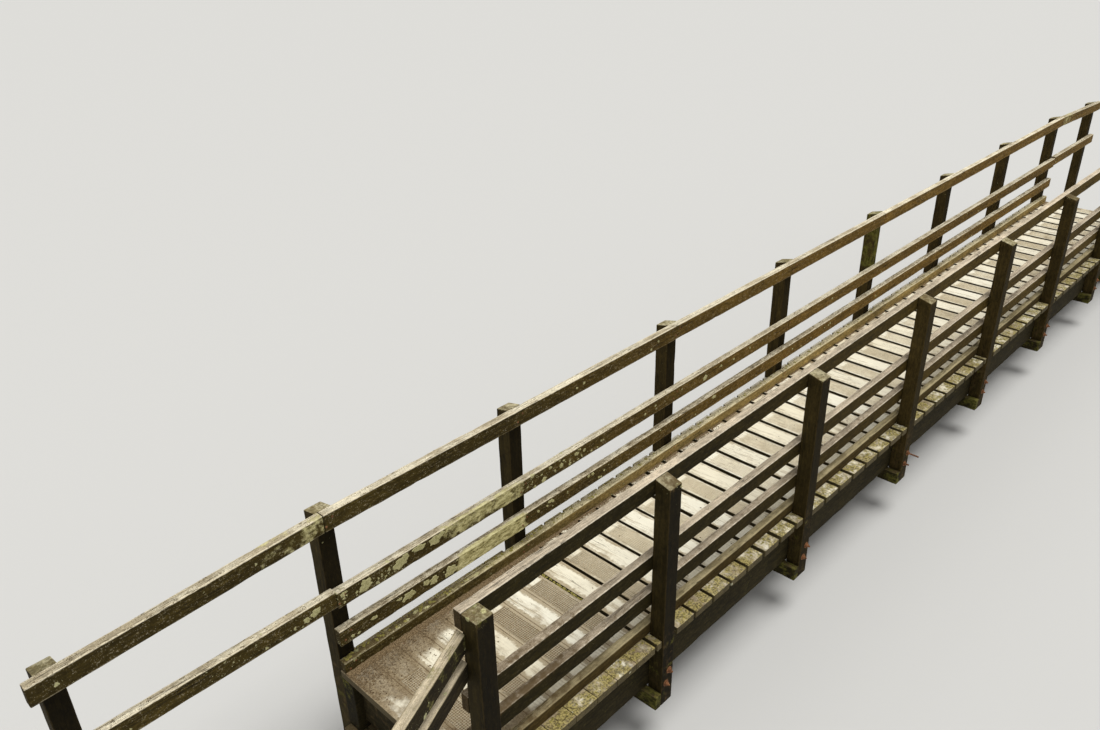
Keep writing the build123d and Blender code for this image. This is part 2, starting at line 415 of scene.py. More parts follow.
def timber_finish(name, top, face, dark, worn, outer=None, bands=0.5, reach=0.009, worn_and_highlight_share=0.5,
                  bleached=None, green=(74, 74, 24), pale_green=(112, 106, 50), dirt=(92, 74, 46),
                  lichen=(176, 172, 124), grit=0.3, run=(0.5, 4.2)):
    """Weathered sawn timber: one colour for its upper side and one for its faces, broken up by grain,
    then flecks, worn arrises, lodged grit, end grain, checks, dirt, green film and lichen laid over it in
    that order. Worn arrises on the upper edges are wear and painted highlight, and faces that look to the
    near side may take an outer colour of stain and painted shade. The left bank lies in shade and is
    damper, so a colour may be a pair that changes from the left bank onwards: the first, darker colour
    is damp and painted shade."""
    material, tree, point, (place, section, drawn, growth) = new_finish(
        name, ("place", "section", "draw", "growth"))
    lines = laid(tree, grain, Place=place, Draw=drawn)
    edges = laid(tree, arris, Place=place, Section=section, Reach=reach)
    cover = laid(tree, spots, Point=point, Amounts=growth)
    _, facing_far, facing_up = axes(field(tree, "NewGeometry", output="Normal"))
    patches = clouds(point, 5.0, 4.0, 0.6)
    speckle = clouds(point, 240.0, 3.0, 0.7)
    dapple = clouds(point, 85.0, 3.0, 0.75)
    mottle = clouds(stretched(own_place(place, drawn), (24.0, 64.0, 64.0)), 1.0, 5.0, 0.72, 0.3)
    away = rise(axes(point)[0], *run)

    # stain on the faces, with painted shade on faces that look to the near side and near the left bank;
    # bleached tops
    shade = bank_damp_and_painted_shade(away, face)
    # faces that look to the near side take the outer colour: stain and painted shade
    if outer:
        shade = blend(rise(facing_far * -1.0, 0.4, 0.8), shade, bank_damp_and_painted_shade(away, outer))
    upward = rise(facing_up, 0.35, 0.8)
    upper = bank_damp_and_painted_shade(away, top)
    if bleached:
        upper = blend(rise(lines["Bands"] * 0.5 + patches, 0.66, 0.84), upper, bank_damp_and_painted_shade(away, bleached))
    shade = blend(upward, shade, upper)

    # each timber's own level, broken up by its grain and by patches
    level = (axes(drawn)[2] - 0.5) * 0.25 + 1.0
    for wave, share in ((lines["Bands"], bands), (lines["Fibre"], 0.5), (patches, 0.5), (speckle, 0.4),
                        (dapple, 0.30 if outer else 0.65)):
        level = level * ((wave - 0.5) * (2 * share) + 1.0)
    shade = scaled(shade, level * rise(mottle, 0.36, 0.64, 0.74, 1.22))

    # pale flecks and worn arrises, with painted highlight on the upper arrises, grit lodged in the grain,
    # end grain, checks and dirt
    flecks = rise(mottle * 0.45 + clouds(point, 150.0, 3.0, 0.6) * 0.6, 0.58, 0.66)
    fleck_share = upward * (0.35 if outer else 0.45) + (0.03 if outer else 0.26)
    shade = blend(flecks * fleck_share, shade, worn)
    # worn arrises, strongest on the upper edges: wear and painted highlight
    shade = blend(edges["Edge"] * (rise(facing_up, -0.3, 0.5) * worn_and_highlight_share), shade, worn)
    lodged = rise(axes(growth)[2] * 0.22 + (mottle * 0.6 + speckle * 0.5), 0.59, 0.66)
    shade = blend(lodged * upward * grit, shade, dirt)
    shade = blend(edges["End face"] * 0.55, shade, blend(lines["Rings"], dark, shade))
    shade = blend(lines["Checks"] * 0.8, shade, dark)
    shade = blend(cover["Dirt"] * 0.8, shade, dirt)

    # green film and lichen
    film = blend(rise(mottle * 0.7 + speckle * 0.3, 0.42, 0.60), green, pale_green)
    shade = blend(cover["Green"] * rise(mottle, 0.36, 0.46, 0.35, 0.88), shade, film)
    crust = scaled(lichen, rise(cover["Lichen tone"], 0.25, 0.7, 0.55, 1.1))
    shade = blend(cover["Lichen"] * 0.9, shade, crust)

    height = (lines["Fibre"] * 0.35 + lines["Bands"] * 0.25 + speckle * 0.12 + lines["Checks"] * -1.2
              + cover["Lichen"] * 0.5 + cover["Green"] * cover["Lichen tone"] * 0.5)
    painted(tree, shade, lines["Fibre"] * 0.14 + 0.80, height, 0.0022, 0.75, 0.12)
    return material


sleeper_finish = timber_finish("sleeper_timber_finish", top=(104, 90, 64), face=(66, 54, 34),
                               dark=(22, 17, 9), worn=(120, 104, 80))


def damp_foot(points):
    """Lichen, green and dirt on a timber that stands in the bank: green and dirty low down."""
    low = 1 - soft_step(points[:, 2], 0.0, 0.3)
    return np.stack([0.15 + 0 * low, 0.25 + 0.35 * low, 0.1 + 0.45 * low], -1)


draw = np.random.default_rng(11)
for bank in ("left", "right"):
    for course in (1, 2, 3):
        dress("bank_sleeper_%s_%d" % (bank, course), to_far, upwards, draw, sleeper_finish,
              "sleeper_timber", damp_foot, arris=0.008, chip=0.02, wander=0.004, face_points=(3, 3))


# ---------------------------------------------------------------------------------------------
# Main beams. Two deep sawn softwood beams span from bank to bank on edge, treated and nearly black
# with age, with drip stains and moss below the gaps of the boards.
beam_finish = timber_finish("beam_timber_finish", top=(70, 60, 36), face=(42, 36, 17), dark=(10, 8, 3),
                            worn=(92, 82, 56), bands=0.6)


def beam_growth(points):
    """Green along the upper edge of the outer faces, where rain comes off the boards."""
    upper = soft_step(points[:, 2], 0.6, 0.725)
    return np.stack([0.25 * upper, 0.2 + 0.35 * upper, 0.1 + 0 * upper], -1)


draw = np.random.default_rng(12)
for beam in ("main_beam_near", "main_beam_far"):
    dress(beam, to_right, upwards, draw, beam_finish, "beam_timber", beam_growth,
          arris=0.005, chip=0.012, wander=0.002, step=0.06, face_points=(2, 6))


# ---------------------------------------------------------------------------------------------
# Blocks between the beams. One short timber at each pair of posts keeps the beams upright; it is
# cut from the same stock, and the bolts of the posts pull the beams against its end grain.


def under_deck(points):
    """Dry and dusty under the boards."""
    return np.full((len(points), 3), (0.0, 0.12, 0.3))


draw = np.random.default_rng(13)
dress("beam_spacers", to_far, upwards, draw, beam_finish, "beam_timber", under_deck, step=0.06,
      face_points=(2, 4))


# ---------------------------------------------------------------------------------------------
# Cross bearers. A timber on edge lies across under both beams at each inner pair of posts, and the
# feet of the posts are bolted against its side. It drips, so it is greener than the beams.


def bearer_growth(points):
    """Green film all over, more of it towards the open ends."""
    outer = soft_step(np.abs(points[:, 1]), 0.4, 0.62)
    return np.stack([0.2 * outer, 0.25 + 0.3 * outer, 0.2 + 0 * outer], -1)


draw = np.random.default_rng(14)
dress("cross_bearers", to_far, upwards, draw, beam_finish, "beam_timber", bearer_growth, chip=0.01)


# ---------------------------------------------------------------------------------------------
# Deck boards. Sawn boards lie across the beams, cut out round the posts. Feet have worn them pale;
# dirt fills the joints, moss grows on their ends outside the kerbs, and each has cupped a little.
deck_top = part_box("deck_boards_bay_1")[1][2]
board_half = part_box("deck_boards_bay_1")[1][1]
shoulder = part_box("main_beam_far")[1][1]
bays = range(1, 8)
deck_boards = []
walked_half = 0.26                       # half the width of the hollow that feet have worn
cut_step = 0.0005                        # length over which a board steps in to its cut-out
deepest_bruise = 0.010
strip_half = 0.06                        # every second board has a mesh strip this far either side
strip_near, strip_far = -0.300, 0.236    # of its middle, between these places across the bridge
long_wire_count = 10
mesh_pitch = 2 * strip_half / (long_wire_count - 1)


def sunk(across, y, cup, tread):
    """How far the walking surface has sunk: a shallow trough across the board, deepest along its middle,
    plus a wide hollow where people walk. across is -1 and 1 at the board's edges."""
    return cup * (1 - across**2) + tread * np.exp(-((y / walked_half) ** 2))


def board_drop(board, x, y):
    """How far the top of one board has sunk at a place on the bridge."""
    return sunk((x - board["middle"]) / board["half"], y, board["cup"], board["tread"])


def deck_board(solid, draw, meshed):
    """A deck board: its rounded section carried from side to side of the bridge, narrower past the
    shoulders of its cut-outs, with its top pressed down by board_drop."""
    low, high = solid[:, 0].min(), solid[:, 0].max()
    bottom = solid[:, 2].min()
    board = {"meshed": meshed, "low": low, "high": high, "middle": (low + high) / 2,
             "half": (high - low) / 2, "cup": draw.uniform(0.0004, 0.0018),
             "tread": draw.uniform(0.0, 0.0012)}
    deck_boards.append(board)
    s, drawn_in = [values[:-3] for values in end_stations(board_half - shoulder, 0.003, 0.024)]
    inner = np.linspace(-shoulder + cut_step, shoulder - cut_step, 27)
    y = np.concatenate([s - board_half, [-shoulder], inner, [shoulder], board_half - s[::-1]])
    narrow = np.concatenate([drawn_in, np.zeros(len(inner) + 2), drawn_in[::-1]])
    left, right = np.full(len(y), low), np.full(len(y), high)
    for side in (-1, 1):
        tongue = solid[side * solid[:, 1] > (board_half + shoulder) / 2, 0]
        outside = side * y > shoulder - cut_step / 2
        left[outside], right[outside] = tongue.min(), tongue.max()
    width, depth = right - left, deck_top - bottom
    radii = worn_arrises(y + board_half, 2 * board_half, 0.0035, 0.007, draw)
    ring = section_rings(width, depth, np.minimum(radii, deepest_bruise), (6, 1))
    a = narrow[:, None] + ring[..., 0] * (1 - 2 * narrow / width)[:, None]
    b = narrow[:, None] + ring[..., 1] * (1 - 2 * narrow / depth)[:, None]
    x = right[:, None] - a
    run = np.broadcast_to(y[:, None], a.shape)
    z = bottom + b - board_drop(board, x, run) * b / depth
    place = np.stack([run + board_half, a + (high - right)[:, None], b], -1)
    part = timber_shell(np.stack([x, run, z], -1), place, (2 * board_half, high - low, depth), draw)
    on_strip = np.full(a.size, float(meshed))
    part["strip"] = np.stack([(x - board["middle"]).ravel(), run.ravel(), on_strip], -1)
    return part


# Cells of the mesh: 0 wherever a wire crosses, either way, and 1 in the squares between the wires
lattice, given, end = effect("wire_cells", {"Place": "Vector", "Pitch": "Float", "Line": "Float"},
                             ["Cells"])
off_wire = [calc("ABSOLUTE", calc("FRACT", way / given["Pitch"] + 100.0) - 0.5)
            for way in axes(given["Place"])[:2]]
close(end, rise(calc("MINIMUM", *off_wire) - given["Line"], -0.06, 0.10))

deck_finish, tree, point, (place, section, drawn, growth, strip) = new_finish(
    "deck_timber_finish", ("place", "section", "draw", "growth", "strip"))
lines = laid(tree, grain, Place=place, Draw=drawn)
edges = laid(tree, arris, Place=place, Section=section, Reach=0.034)
cover = laid(tree, spots, Point=point, Amounts=growth)
cells = laid(tree, lattice, Place=strip, Pitch=mesh_pitch, Line=0.10)["Cells"]
facing_up = axes(field(tree, "NewGeometry", output="Normal"))[2]
lot = axes(drawn)[2]
speckle = clouds(point, 230.0, 3.0, 0.7)
spread = clouds(point, 11.0, 5.0, 0.62)
crumbly = clouds(point, 90.0, 4.0, 0.75)
near_bank = rise(axes(point)[0], 0.8, 2.1, 1.0, 0.0)
streaks = clouds(stretched(place, (5.0, 34.0, 34.0)), 1.0, 5.0, 0.62, 0.5)
streaks = (clouds(point, 6.0, 4.0, 0.6) - 0.5) * 0.5 + streaks

# the pale worn board, scuffed and streaked with its grain
shade = blend(lot, (255, 249, 227), (247, 237, 208))
scuffed = rise(lines["Fibre"] * 0.25 + streaks, 0.66, 0.84)
shade = blend(scuffed * 0.6, shade, (188, 170, 136))
level = (lines["Fibre"] - 0.5) * 0.35 + 1.0
for wave, share in ((lines["Bands"], 0.22), (speckle, 0.25)):
    level = level * ((wave - 0.5) * share + 1.0)
shade = scaled(shade, level)

# thin soil that spreads from the joints, more of it near the left bank
off_joint = edges["Edge"] * near_bank * 0.12 + (edges["Edge"] * 0.22 + near_bank * 0.16)
soiled = rise(streaks * 0.55 + spread * 0.5 + off_joint, 0.60, 0.92)
soil_shade = blend(rise(speckle, 0.35, 0.65), (150, 132, 100), (192, 174, 140))
shade = blend(soiled * 0.85, shade, soil_shade)

# dirt that the mesh holds, darker in its cells
across, way, meshed = axes(strip)
zone = meshed * rise(calc("ABSOLUTE", across), strip_half, strip_half + 0.006, 1.0, 0.0)
zone = zone * rise(way, strip_near - 0.004, strip_near + 0.004)
zone = zone * rise(way, strip_far - 0.004, strip_far + 0.004, 1.0, 0.0)
held_dirt = blend(rise(speckle, 0.35, 0.65), (204, 190, 158), (236, 225, 196))
held_dirt = blend(near_bank, held_dirt, (138, 119, 87))
held = near_bank * 0.6 + (lot * 0.45 + clouds(point, 12.0, 5.0, 0.7) * 0.9)
held = zone * rise(held, 0.50, 0.86, 0.08, 0.90)
shade = blend(held, shade, held_dirt)
shade = blend(held * cells * (near_bank * 0.35 + 0.12), shade, (110, 92, 62))

# checks, the board's stained sides and its dark end grain
shade = blend(lines["Checks"] * 0.6, shade, (104, 88, 60))
shade = blend(rise(facing_up, 0.3, 0.75), blend(lines["Bands"], (46, 38, 18), (92, 80, 46)), shade)
shade = blend(edges["End face"] * 0.8, shade, blend(lines["Rings"], (38, 32, 17), (84, 72, 43)))

# packed soil at the bank and the kerb's foot, moss and lichen
upper_side = rise(facing_up, 0.0, 0.7, 0.12, 1.0)
dirty = axes(growth)[2]
soil = blend(rise(crumbly, 0.36, 0.66), (116, 98, 70), (164, 146, 114))
packed_soil = blend(rise(crumbly, 0.40, 0.62), (80, 64, 42), (138, 118, 86))
soil = blend(rise(dirty, 0.72, 0.95, 0.0, 0.7), soil, packed_soil)
soil_edge = dirty * 0.75 + (spread * 0.5 + clouds(point, 6.0, 3.0, 0.5))
soil_cover = rise(soil_edge, 0.92, 1.26) * 0.92
shade = blend(soil_cover * upper_side, shade, soil)
moss = blend(rise(crumbly, 0.40, 0.60), (82, 72, 34), (182, 166, 98))
shade = blend(cover["Green"] * upper_side * 0.9, shade, moss)
crust = scaled((206, 204, 170), rise(cover["Lichen tone"], 0.25, 0.7, 0.6, 1.1))
shade = blend(cover["Lichen"] * 0.9, shade, crust)
height = (lines["Fibre"] * 0.4 + streaks * 0.3 + crumbly * 0.3 + lines["Checks"] * -1.0
          + cover["Green"] * 0.5 + soil_cover * 0.3)
painted(tree, shade, lines["Fibre"] * 0.12 + 0.76, height, 0.002, 0.7, 0.3)


def deck_growth(points):
    """Moss and lichen on the ends outside the kerbs, dirt along the kerbs' feet and at the bank."""
    x, y = points[:, 0], points[:, 1]
    clean = (y > 0) * soft_step(x, 2.3, 3.0)
    outside = soft_step(np.abs(y), 0.50, 0.53) * (1 - 0.85 * clean)
    foot = soft_step(y, 0.26, 0.46) * (1 - 0.45 * soft_step(x, 0.7, 2.6))
    foot = foot + 0.35 * soft_step(-y, 0.36, 0.47)
    foot = foot * (1 - clean * soft_step(y, 0.50, 0.53))
    bank = 1 - soft_step(x, 0.0, 0.95) + soft_step(x, 10.1, 10.5)
    dirt = np.clip(0.04 + 0.74 * foot + 0.52 * bank, 0, 0.95) * (1 - 0.6 * outside)
    return np.stack([0.22 * outside, 0.58 * outside, dirt + 0.30 * outside], -1)


draw = np.random.default_rng(15)
for bay in bays:
    name = "deck_boards_bay_%d" % bay
    timbers = [deck_board(solid, draw, len(deck_boards) % 2) for solid in separate_solids(name)]
    stand_for(name, timbers, deck_finish, deck_growth)


# ---------------------------------------------------------------------------------------------
# Anti-slip mesh. A strip of square welded wire mesh is stapled along every second board. The zinc
# is gone from the wire; feet have rubbed it pale, and it holds grit.
wire_radius = 0.0010
staple_reach = 0.005


def wire_tubes(paths, sideways, radius):
    """Square tubes round many paths at once: each ring lies in the plane of the sideways direction and
    the upright, and every tube is closed at both ends."""
    turn = np.radians([45, 135, 225, 315])[:, None]
    ring = np.cos(turn) * np.array(sideways, float) + np.sin(turn) * np.array(upwards, float)
    return ringed_shells(paths[:, :, None] + radius * ring)


def mesh_strip(board, draw):
    """The wires of one strip. Long wires follow the board's worn top at their height, cross wires lie on
    them, and staples are short arches over the outer wires."""
    across = board["middle"] + (np.arange(long_wire_count) - (long_wire_count - 1) / 2) * mesh_pitch
    rows = np.arange(math.ceil(strip_near / mesh_pitch), math.floor(strip_far / mesh_pitch)) + 0.5
    y = np.linspace(rows[0] * mesh_pitch - 0.004, rows[-1] * mesh_pitch + 0.004, 14)
    x, run = np.meshgrid(across, y, indexing="ij")
    lift = deck_top - board_drop(board, x, run) + wire_radius * 0.8
    long_wires = np.stack([x, run, lift + 0.0006 * draw.uniform(-1, 1, x.shape) ** 3], -1)
    x, run = np.meshgrid(np.linspace(across[0] - 0.003, across[-1] + 0.003, 7), rows * mesh_pitch)
    lift = deck_top - board_drop(board, x, run) + wire_radius * 2.2
    cross_wires = np.stack([x, run, lift], -1)
    held = np.stack([np.repeat(across[[0, -1]], 5), np.tile(np.linspace(y[1], y[-2], 5), 2)], -1)
    x = held[:, :1] + np.array([-1, -0.8, 0.8, 1]) * staple_reach
    run = np.broadcast_to(held[:, 1:], x.shape)
    lift = deck_top - board_drop(board, x, run) + np.array([-0.0058, 0.0032, 0.0032, -0.0058])
    staples = np.stack([x, run, lift], -1)
    return [wire_tubes(long_wires[:, ::-1], to_right, wire_radius),
            wire_tubes(cross_wires, to_far, wire_radius), wire_tubes(staples, to_far, wire_radius * 0.9)]


def plain_finish(name, first, second, third, scale, metal=0.0, rough=0.8, depth=0.001):
    """Two colours in cloudy patches and flecks of a third, with a speckled bump, for rust, crust, moss
    and grit."""
    material, tree, point, _ = new_finish(name)
    patch = clouds(point, scale, 5.0, 0.65)
    fine = clouds(point, scale * 5, 3.0, 0.7)
    shade = blend(rise(patch, 0.36, 0.64), first, second)
    shade = blend(rise(fine, 0.56, 0.66), shade, third)
    shade = scaled(shade, rise(fine, 0.25, 0.75, 0.7, 1.25))
    painted(tree, shade, patch * 0.2 + (rough - 0.1), fine * 0.6 + patch, depth, 0.8, 0.3, metal)
    return material


wire_finish = plain_finish("dull_wire_finish", (216, 202, 170), (242, 232, 206), (190, 166, 130), 60.0,
                           metal=0.1, rough=0.7)
draw = np.random.default_rng(16)
for bay in bays:
    low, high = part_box("deck_boards_bay_%d" % bay)
    wires = [part for board in deck_boards if board["meshed"] and low[0] <= board["middle"] <= high[0]
             for part in mesh_strip(board, draw)]
    mesh_piece = joined_mesh("anti_slip_mesh_bay_%d" % bay, wires, wire_finish, smooth=100.0)
    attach(mesh_piece, "root")


# ---------------------------------------------------------------------------------------------
# Parapet posts. Square sawn posts stand in pairs outside the beams, their heads cut to shed water.
# The stain has gone nearly black on the faces, darker still by painted shade where they look to the
# near side and near the left bank; the cut heads have bleached, and some carry moss.
# outer is stain and painted shade on faces to the near side; pairs hold painted shade near the bank
post_finish = timber_finish("post_timber_finish", top=(142, 130, 92), face=((54, 45, 19), (67, 55, 26)),
                            dark=(16, 12, 5), worn=(112, 94, 60), outer=((28, 22, 6), (45, 36, 11)),
                            bleached=(194, 184, 148), bands=0.6, green=(84, 84, 22),
                            pale_green=(126, 120, 58), reach=0.007, run=(0.8, 5.2))
green_post = 5.785


def post_growth(points):
    """Moss on heads and at the deck's splash line; one far post is green with it, one near head is
    thick. Dirt makes some heads darker than others."""
    x, y, z = points.T
    head = soft_step(z, 1.77, 1.80)
    splash = 1 - soft_step(z, 0.72, 1.0)
    mossy = np.exp(-((x - green_post) / 0.12) ** 2) * (y > 0) * soft_step(z, 1.1, 1.35)
    corner = np.exp(-(x / 0.12) ** 2) * (y < 0) * head
    post_places = [0.0, 1.3, 2.8, 4.3, 5.8, 7.3]
    dark_heads = np.where(y < 0, np.interp(x, post_places, [0.3, 0.5, 0.28, 0.48, 0.0, 0.5]),
                          np.interp(x, post_places, [0.3, 0.4, 0.15, -0.2, -0.2, -0.3]))
    green = 0.06 + (0.04 + 0.3 * dark_heads) * head + 0.2 * splash + 0.56 * mossy + 0.18 * corner
    return np.stack([0.12 + 0.22 * head, green, 0.05 + dark_heads * head + 0.25 * splash], -1)


draw = np.random.default_rng(17)
post_pairs = ["parapet_posts_%d" % pair for pair in range(1, 9)]
for posts in post_pairs:
    dress(posts, upwards, to_far, draw, post_finish, "post_timber", post_growth,
          arris=0.0045, chip=0.007, wander=0.0013, face_points=(3, 3), lowered_end=0.002)


# ---------------------------------------------------------------------------------------------
# Bolts. Two steel bolts hold each near post to the beam, with a washer and a nut outside, now rusty.
# One of them was cut too long and stands out far from its post. On the far side the bolts go in from
# outside with flat heads, and their nuts sit under the boards.
rust_finish = plain_finish("rusty_steel_finish", (108, 72, 46), (152, 104, 68), (74, 50, 32), 45.0,
                           metal=0.15, rough=0.85)
post_half = 0.05
near_stations = [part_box(posts)[1][0] - post_half for posts in post_pairs]
far_stations = [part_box(posts)[0][0] + post_half for posts in post_pairs]
post_face = shoulder + 2 * post_half
bolt_places = ((0.518, 0.012), (0.432, -0.012))     # height, and off the post's middle


def turned_bolt(centre, outwards, rings, turns=24):
    """Rings along the bolt's axis, each with its distance from the timber, its radius and how six-sided
    it is: a six-sided ring has the radius r cos 30 / cos(angle from the middle of its side)."""
    out, radius, six = np.array(rings).T[..., None]
    turn = np.arange(turns) * 2 * np.pi / turns
    side = (turn % (np.pi / 3)) - np.pi / 6
    flat = math.cos(math.pi / 6) / np.cos(side)
    reach = radius * (1 - six + six * flat)
    x = centre[0] - outwards * reach * np.cos(turn)
    y = np.broadcast_to(centre[1] + outwards * out, reach.shape)
    points = np.stack([x, y, centre[2] + reach * np.sin(turn)], -1)
    return ringed_shells(points[None])


def nut_rings(stub):
    """Washer, chamfered nut and the bolt's end with its thread, which is a wave of the radius."""
    thread = np.arange(0.018, 0.018 + stub, 0.0011)
    shank = [(t, 0.0058 + 0.0005 * (k % 2), 0) for k, t in enumerate(thread)]
    return ([(-0.003, 0.021, 0), (0.002, 0.0222, 0), (0.0035, 0.0216, 0), (0.0036, 0.0125, 0.3),
             (0.0046, 0.0139, 1), (0.0150, 0.0139, 1), (0.0162, 0.0124, 0.4), (0.0163, 0.0062, 0)] + shank +
            [(thread[-1] + 0.001, 0.0045, 0), (thread[-1] + 0.0012, 0.0008, 0)])


long_stubs = {(3, 0.518): 0.074, (3, 0.432): 0.022}
flat_head = [(-0.006, 0.018, 0), (-0.0012, 0.0185, 0), (-0.0004, 0.016, 0), (-0.0003, 0.001, 0)]
beam_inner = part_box("main_beam_far")[0][1]
beside_block = 0.055                                # the far side's nuts clear the block between the beams
bolts = []
for pair, x in enumerate(near_stations):
    for height, sideways in bolt_places:
        stub = long_stubs.get((pair, height), 0.006 + 0.003 * (pair % 3))
        bolts.append(turned_bolt((x + sideways, -post_face + 0.001, height), -1, nut_rings(stub)))
for x in far_stations:
    for height, sideways in bolt_places:
        bolts.append(turned_bolt((x + sideways, post_face, height), 1, flat_head))
        under_boards = (x + sideways + beside_block, beam_inner + 0.001, height)
        bolts.append(turned_bolt(under_boards, -1, nut_rings(0.008)))
post_bolts = joined_mesh("post_bolts", bolts, rust_finish, smooth=40.0)
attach(post_bolts, "root")


# ---------------------------------------------------------------------------------------------
# Rails. Sawn softwood rails are fixed to the inner faces of the posts in long lengths that butt on a
# post: handrail, two middle rails, and a kerb on the boards. Tops have bleached; faces keep their stain,
# with painted shade on the near rails' outer faces and near the left bank.
# the first colour of each pair is darker by damp and painted shade near the left bank
far_rail_finish = timber_finish("far_rail_finish", top=(202, 187, 155), face=((72, 60, 25), (116, 90, 40)),
                                dark=(24, 17, 8), worn=(238, 225, 194), bleached=(226, 216, 188),
                                bands=0.75, worn_and_highlight_share=0.9, green=(166, 156, 100),
                                pale_green=(236, 228, 172), lichen=(206, 200, 150), dirt=(84, 70, 42),
                                grit=0.9, run=(0.7, 4.9))
# outer is stain and painted shade on the near rails' outer faces
near_rail_finish = timber_finish("near_rail_finish", top=(196, 181, 156), face=(86, 70, 42),
                                 dark=(20, 15, 7), worn=(236, 222, 196), outer=((42, 35, 9), (76, 60, 20)),
                                 reach=0.007, bleached=(206, 190, 164), bands=0.6, worn_and_highlight_share=0.8, grit=0.7,
                                 run=(1.0, 5.5))
far_kerb_finish = timber_finish("far_kerb_finish", top=((140, 126, 86), (200, 187, 150)), dark=(34, 26, 12),
                                face=((72, 60, 26), (148, 126, 76)), worn=(226, 213, 172), bands=0.75,
                                bleached=((176, 164, 120), (214, 202, 164)), worn_and_highlight_share=0.7,
                                green=(84, 74, 32), pale_green=(134, 120, 66), reach=0.012,
                                dirt=(78, 64, 36), grit=0.9, run=(0.45, 2.9))
# outer is stain and painted shade on the near kerb's outer face
near_kerb_finish = timber_finish("near_kerb_finish", top=(150, 136, 100), face=(92, 76, 42),
                                 dark=(24, 18, 9), worn=(176, 162, 124), bleached=(176, 162, 124),
                                 outer=(74, 60, 30), worn_and_highlight_share=0.45, green=(84, 78, 32),
                                 pale_green=(134, 124, 68), reach=0.010)


def rail_growth(level, side):
    """Growth on one level of one side. The far rails carry most lichen near the left bank, and two of
    them a pale film with ragged ends: on the lower rail one stretch, on the upper rail a thin start along
    its upper arris and then a full stretch. Dirt lies on their tops, most of it in the first bay; the
    lower rail takes the most, which is partly painted shade under the rails above."""
    lichen = {"handrail": 0.07, "upper_rail": 0.28, "lower_rail": 0.22, "kerb_rail": 0.22}[level]
    # more dirt on the lower rail: dirt and painted shade under the rails above
    dirt = {"handrail": -0.12, "upper_rail": 0.05, "lower_rail": 0.20, "kerb_rail": 0.12}[level]
    film = {"lower_rail": (0.75, 1.305, 0.85), "upper_rail": (1.06, 1.30, 0.66)}.get(level)

    def growth(points):
        x, y, z = points.T
        bank = 1 - soft_step(x, 1.2, 3.2)
        upper = soft_step(z, np.max(z) - 0.014, np.max(z) - 0.003)
        green, dirty = np.full(len(x), 0.10), dirt
        lichen_here = lichen * (0.5 + 0 * x if side < 0 else 0.75 + 0.8 * bank)
        if film and side > 0:
            start, stop, full = film
            inside = soft_step(x, start - 0.09, start + 0.07) * (1 - soft_step(x, stop - 0.07, stop + 0.06))
            green = green + full * inside * (1 - 0.25 * soft_step(x, 1.05, 1.3)) * (y < 0.5)
            lichen_here = lichen_here * (1 - 0.7 * inside)
        if level == "upper_rail" and side > 0:
            thin = soft_step(x, 0.60, 0.72) * (1 - soft_step(x, 0.98, 1.08))
            green = green + 0.58 * thin * (y < 0.5) * soft_step(z, 1.18, 1.28)
        if level == "kerb_rail":
            green = green + 0.06 + (0.16 * bank if side > 0 else 0)
        if level == "kerb_rail" or side < 0 and level != "handrail":
            dirty = dirty + 0.32 * (1 - soft_step(x, 0.5, 0.9))
        elif level == "handrail" and side > 0:
            dirty = dirty + 0.16 * (1 - soft_step(x, 0.4, 1.2))
        return np.stack([lichen_here, green, 0.05 + dirty * upper], -1)

    return growth


draw = np.random.default_rng(18)
rail_boxes = {}
for level in ("handrail", "upper_rail", "lower_rail", "kerb_rail"):
    kerb = level == "kerb_rail"
    for side, side_name, finish in ((-1, "near", near_kerb_finish if kerb else near_rail_finish),
                                    (1, "far", far_kerb_finish if kerb else far_rail_finish)):
        rail = "%s_%s" % (level, side_name)
        rail_boxes[rail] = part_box(rail)
        dress(rail, to_right, upwards, draw, finish, "kerb_timber" if kerb else "rail_timber",
              rail_growth(level, side), arris=0.005 if kerb else 0.004, chip=0.012 if kerb else 0.008,
              wander=0.0016, step=0.04)


# ---------------------------------------------------------------------------------------------
# Screws and nails. Two coach screws hold each rail to each post, and two nails hold each board to
# each beam. They are plain steel, brown with rust, and the wood has swollen a little round them.
rail_thickness = 0.05
rail_face = shoulder - rail_thickness
screw_places = ((-0.02, 0.3), (0.02, 0.7))          # off the post's middle, and share of the rail's height
screw_rings = [(-0.004, 0.0066, 0), (0.0002, 0.0068, 0), (0.0016, 0.0052, 0), (0.0022, 0.0028, 0),
               (0.0023, 0.0006, 0)]
screws = []
for rail, (low, high) in rail_boxes.items():
    side = 1 if low[1] > 0 else -1
    for x in far_stations if side > 0 else near_stations:
        for sideways, up in screw_places:
            centre = (x + sideways, side * (rail_face + 0.0008), low[2] + (high[2] - low[2]) * up)
            screws.append(turned_bolt(centre, -side, screw_rings, turns=10))
rail_screws = joined_mesh("rail_screws", screws, rust_finish)
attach(rail_screws, "root")


def low_domes(centres, radii, rises, outline):
    """Many low domes at once: rings round each centre, each ring with its radius and its height over the
    centre. The outline is the shape of a ring, one distance and one direction for each of its points."""
    distance, turn = outline
    reach = radii[..., None] * distance[:, None]
    return ringed_shells(np.stack([centres[:, 0, None, None] + reach * np.cos(turn),
                                   centres[:, 1, None, None] + reach * np.sin(turn),
                                   (centres[:, 2, None] + rises)[..., None] + 0 * reach], -1))


